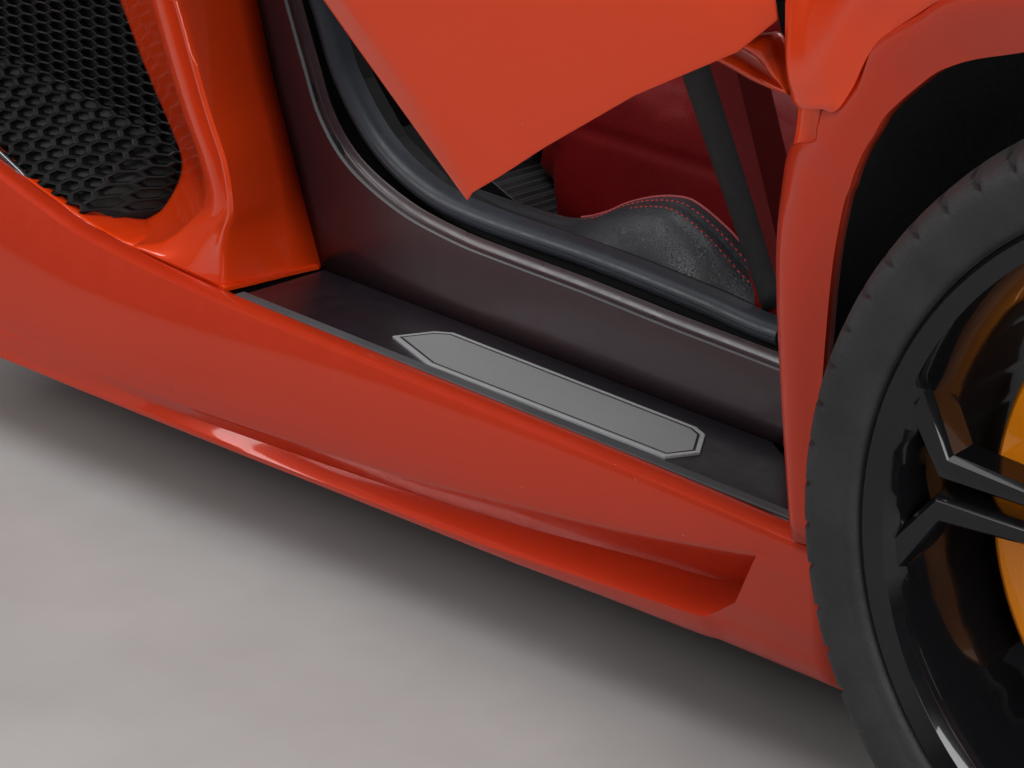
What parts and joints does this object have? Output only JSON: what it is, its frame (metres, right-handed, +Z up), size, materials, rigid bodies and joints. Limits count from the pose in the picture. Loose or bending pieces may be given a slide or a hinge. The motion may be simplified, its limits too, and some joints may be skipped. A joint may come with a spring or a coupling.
{
  "type": "supercar body side section",
  "caption": "Right-hand body side of a low two-seat sports car, upward-opening door raised, with front wheel corner, sill, seat and rear intake.",
  "frame": {"origin": "centre of the four bolt holes in the tunnel side, on the face that meets the other half of the car; 0.28 m above the road and 0.98 m behind the front axle", "axes": "+X towards the car's front, +Y towards the car's left (out of the mounting face), +Z up"},
  "size_m": [2.159, 1.0444, 1.6642],
  "materials": {
    "body_paint": "gloss",
    "black_satin": "satin",
    "black_plastic": "matte",
    "gloss_black": "gloss",
    "brushed_aluminium": "brushed",
    "alloy": "satin",
    "steel": "machined",
    "cast": "cast",
    "caliper_paint": "gloss",
    "carbon": "satin",
    "rubber": "matte",
    "tyre_rubber": "matte",
    "black_leather": "satin",
    "red_leather": "satin",
    "window": "clear",
    "mirror": "polished"
  },
  "bodies": {
    "body_side": {"arch_liner": "black_plastic", "door_seal": "rubber", "floor_pan": "carbon", "front_bulkhead": "carbon", "front_frame": "alloy", "front_leg_trim": "black_plastic", "front_wing": "body_paint", "hinge_bracket": "body_paint", "hinge_pillar": "carbon", "intake_duct": "body_paint", "intake_fin": "black_plastic", "intake_mesh": "black_plastic", "lower_arm": "alloy", "quarter_cover": "body_paint", "quarter_panel": "body_paint", "rear_bulkhead": "carbon", "seat_back": "red_leather", "seat_bolsters": "red_leather", "seat_cushion": "red_leather", "seat_rails": "steel", "seat_shell": "carbon", "side_skirt": "body_paint", "sill_beam": "carbon", "sill_step": "black_satin", "sill_trim": "black_leather", "steering_rack": "alloy", "step_strip": "rubber", "tread_plate": "brushed_aluminium", "tub_ring": "carbon", "tub_wall": "carbon", "tunnel_side": "carbon", "upper_arm": "alloy"},
    "door": {"door_skin": "body_paint", "door_frame": "carbon", "door_card": "red_leather", "door_glass": "window", "door_mirror": "body_paint", "mirror_glass": "mirror", "hinge_arm": "body_paint"},
    "knuckle": {"knuckle": "alloy", "brake_caliper": "caliper_paint"},
    "wheel": {"tyre": "tyre_rubber", "rim": "gloss_black", "hub": "steel", "brake_disc": "cast", "lock_nut": "steel"},
    "track_rod": {"track_rod": "steel"}
  },
  "joints": [
    {"name": "door_hinge", "type": "hinge", "parent": "body_side", "child": "door", "pos_m": [0.56, -0.732, 0.344], "axis": [0.1223, 0.9338, 0.3362], "range_deg": [-64.6, 0]},
    {"name": "steering", "type": "hinge", "parent": "body_side", "child": "knuckle", "pos_m": [0.96896, -0.66302, 0.045], "axis": [0, 0, 1], "range_deg": [-40.6, 19.4]},
    {"name": "wheel_spin", "type": "hinge", "parent": "knuckle", "child": "wheel", "pos_m": [0.98, -0.722, 0.045], "axis": [0.1839, -0.9829, 0], "continuous": true},
    {"name": "track_rod_turn", "type": "hinge", "parent": "knuckle", "child": "track_rod", "pos_m": [0.87386, -0.67675, 0.02], "axis": [0, 0, 1], "range_deg": [-19.4, 40.6]}
  ],
  "couplings": [
    {"joint": "track_rod_turn", "follows": "steering", "ratio": -1}
  ]
}
